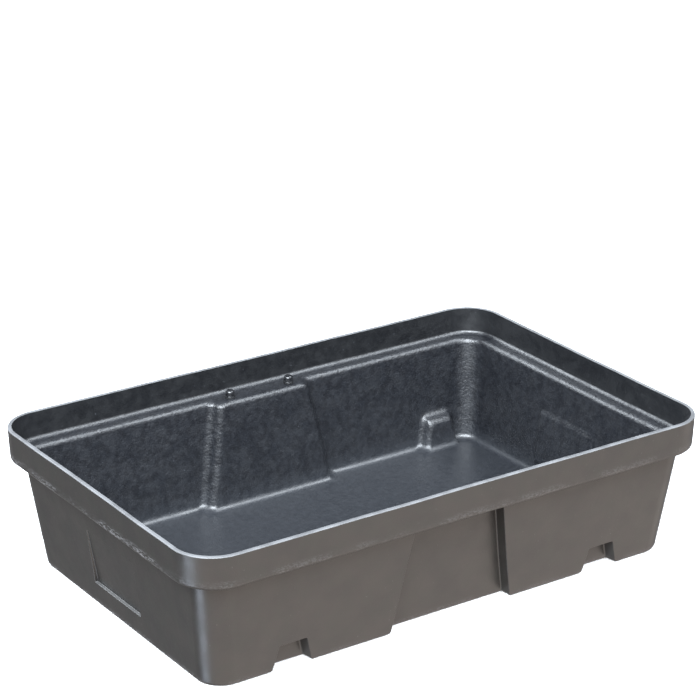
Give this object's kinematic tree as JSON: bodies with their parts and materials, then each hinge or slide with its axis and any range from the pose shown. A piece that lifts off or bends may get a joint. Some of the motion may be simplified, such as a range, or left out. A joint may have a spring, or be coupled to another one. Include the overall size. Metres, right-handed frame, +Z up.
{
  "type": "spill containment tray",
  "caption": "Open rectangular moulded spill tray with a rim band, a stepped inner ledge and dome-headed locating studs.",
  "frame": {"origin": "on the surface the tray stands on, under the middle of its footprint", "axes": "+X along the long side, +Y to the rear along the short side, +Z up"},
  "size_m": [0.605, 0.4, 0.15],
  "materials": {
    "tray": "moulded satin, fine orange-peel inside",
    "stud": "glossy",
    "sealing_washer": "matte",
    "retainer": "zinc plated"
  },
  "bodies": {
    "root": {"tray_body": "tray", "locating_stud_rear_left": "stud", "stud_sealing_washer_rear_left": "sealing_washer", "stud_retainer_rear_left": "retainer", "locating_stud_rear_right": "stud", "stud_sealing_washer_rear_right": "sealing_washer", "stud_retainer_rear_right": "retainer", "locating_stud_front_left": "stud", "stud_sealing_washer_front_left": "sealing_washer", "stud_retainer_front_left": "retainer", "locating_stud_front_right": "stud", "stud_sealing_washer_front_right": "sealing_washer", "stud_retainer_front_right": "retainer"}
  },
  "joints": []
}
